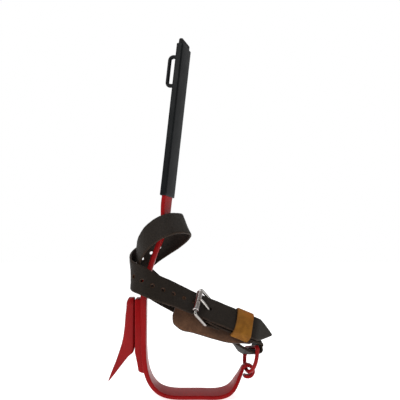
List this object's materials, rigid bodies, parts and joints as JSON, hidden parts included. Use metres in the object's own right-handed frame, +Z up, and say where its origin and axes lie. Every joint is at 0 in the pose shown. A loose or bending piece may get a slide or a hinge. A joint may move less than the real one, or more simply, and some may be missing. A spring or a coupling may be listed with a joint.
{
  "type": "pole climbing iron",
  "caption": "Climbing iron with a stirrup, a bolted gaff, a sliding shank sleeve, a swinging ring and a buckled leather foot strap.",
  "frame": {"origin": "middle of the flat tread, on its top face", "axes": "+Z up along the leg, +X across the foot from the gaff towards the ring, +Y along the foot, away from the buckle"},
  "size_m": [0.1951, 0.0759, 0.4248],
  "materials": {
    "red_enamel": "glossy red enamel, worn along the edges",
    "gaff_enamel": "glossy red enamel on the gaff",
    "ring_enamel": "glossy red enamel on the ring",
    "black_coating": "satin black coating",
    "loop_coating": "satin black coating on a round rod",
    "cap_plastic": "matte black plastic",
    "screw_steel": "dark plated steel",
    "nickel_frame": "bright nickel plate",
    "nickel_roller": "polished nickel plate",
    "nickel_tongue": "bright nickel plate",
    "rivet_brass": "dull brass",
    "strap_leather": "oiled dark brown harness leather",
    "keeper_leather": "mustard tan leather",
    "pad_leather": "mottled brown suede"
  },
  "bodies": {
    "leg_iron": {"leg_iron": "red_enamel", "gaff": "gaff_enamel", "gaff_screw_upper": "screw_steel", "gaff_screw_lower": "screw_steel", "foot_strap": "strap_leather", "buckle_strap": "strap_leather", "ankle_pad": "pad_leather", "chape_rivet_lower": "rivet_brass", "chape_rivet_upper": "rivet_brass"},
    "shank_sleeve": {"shank_sleeve": "black_coating", "sleeve_cap": "cap_plastic", "strap_loop": "loop_coating", "sleeve_screw_lower": "screw_steel", "sleeve_screw_upper": "screw_steel"},
    "stirrup_ring": {"stirrup_ring": "ring_enamel", "strap_bight": "strap_leather"},
    "buckle_frame": {"buckle_frame": "nickel_frame"},
    "buckle_roller": {"buckle_roller": "nickel_roller"},
    "buckle_tongue": {"buckle_tongue": "nickel_tongue"},
    "strap_keeper": {"strap_keeper": "keeper_leather"}
  },
  "joints": [
    {"name": "sleeve_slide", "type": "slide", "parent": "leg_iron", "child": "shank_sleeve", "axis": [0.1122, 0, 0.9937], "range_m": [-0.0127, 0.0762]},
    {"name": "ring_swing", "type": "hinge", "parent": "leg_iron", "child": "stirrup_ring", "pos_m": [0.0628, 0, 0.0253], "axis": [0, 1, 0], "range_deg": [-12, 20], "deforming": ["strap_bight"]},
    {"name": "buckle_tilt", "type": "hinge", "parent": "leg_iron", "child": "buckle_frame", "pos_m": [0.01624, -0.01122, 0.09501], "axis": [0.2121, 0.703, 0.6788], "range_deg": [0, 7]},
    {"name": "roller_spin", "type": "hinge", "parent": "buckle_frame", "child": "buckle_roller", "pos_m": [0.0023, -0.02279, 0.11135], "axis": [0.2121, 0.703, 0.6788], "continuous": true},
    {"name": "tongue_lift", "type": "hinge", "parent": "buckle_frame", "child": "buckle_tongue", "pos_m": [0.01624, -0.01122, 0.09501], "axis": [0.2121, 0.703, 0.6788], "range_deg": [0, 8]},
    {"name": "keeper_slide", "type": "slide", "parent": "leg_iron", "child": "strap_keeper", "axis": [0.917, 0.097, -0.387], "range_m": [-0.012, 0]}
  ]
}
